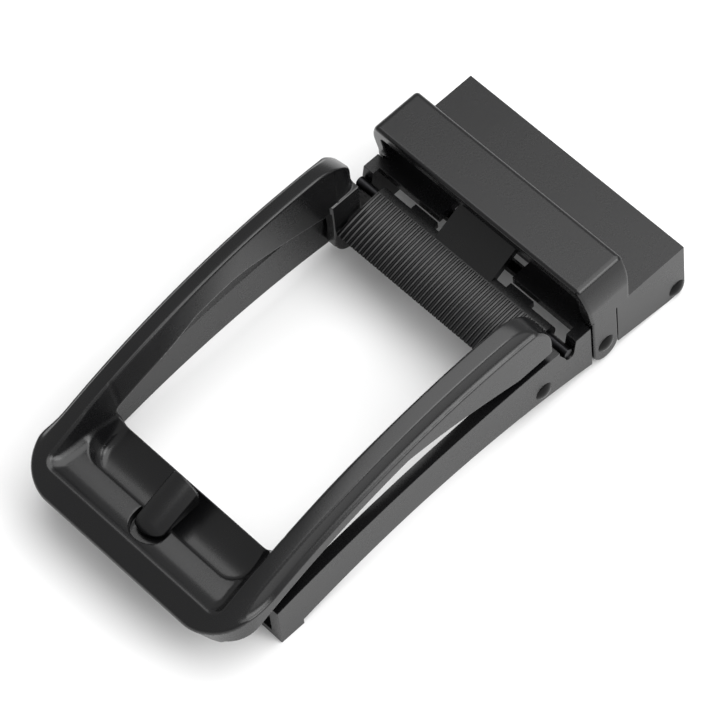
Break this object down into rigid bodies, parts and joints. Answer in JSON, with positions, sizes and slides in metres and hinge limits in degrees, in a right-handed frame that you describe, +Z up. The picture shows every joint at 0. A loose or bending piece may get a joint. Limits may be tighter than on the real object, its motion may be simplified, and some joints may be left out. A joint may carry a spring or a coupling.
{
  "type": "ratchet belt buckle",
  "caption": "Black ratchet belt buckle: arched open front frame with a prong, flat cheeks, a ribbed sprung pawl, a keeper loop and a clamp for the strap end.",
  "frame": {"origin": "middle of the plane that the buckle lies on, face up, under the middle of its length and width", "axes": "+X along the strap towards the clamp for the strap's fixed end, +Y across the strap, +Z up out of the buckle's face"},
  "size_m": [0.0842, 0.0414, 0.022],
  "materials": {
    "black_casting": "satin black lacquer on cast zinc alloy",
    "black_steel": "satin black plated steel",
    "bright_steel": "plain steel wire"
  },
  "bodies": {
    "base": {"base_frame": "black_casting", "keeper_loop": "black_casting", "pawl_axle": "bright_steel", "keeper_pin": "black_steel", "frame_pin": "black_steel", "jaw_pin": "black_steel"},
    "front": {"front_frame": "black_casting", "prong": "black_casting"},
    "pawl": {"pawl": "black_steel"},
    "jaw": {"strap_jaw": "black_steel"}
  },
  "joints": [
    {"name": "frame_lift", "type": "hinge", "parent": "base", "child": "front", "pos_m": [0.01575, 0, 0.0049], "axis": [0, 1, 0], "range_deg": [0, 23]},
    {"name": "pawl_rock", "type": "hinge", "parent": "base", "child": "pawl", "pos_m": [0.02075, 0, 0.0081], "axis": [0, 1, 0], "range_deg": [0, 18], "stiffness_Nm_per_rad": 0.02, "springref_deg": -5.73},
    {"name": "jaw_open", "type": "hinge", "parent": "base", "child": "jaw", "pos_m": [0.04065, 0, 0.0015], "axis": [0, -1, 0], "range_deg": [0, 75]}
  ]
}
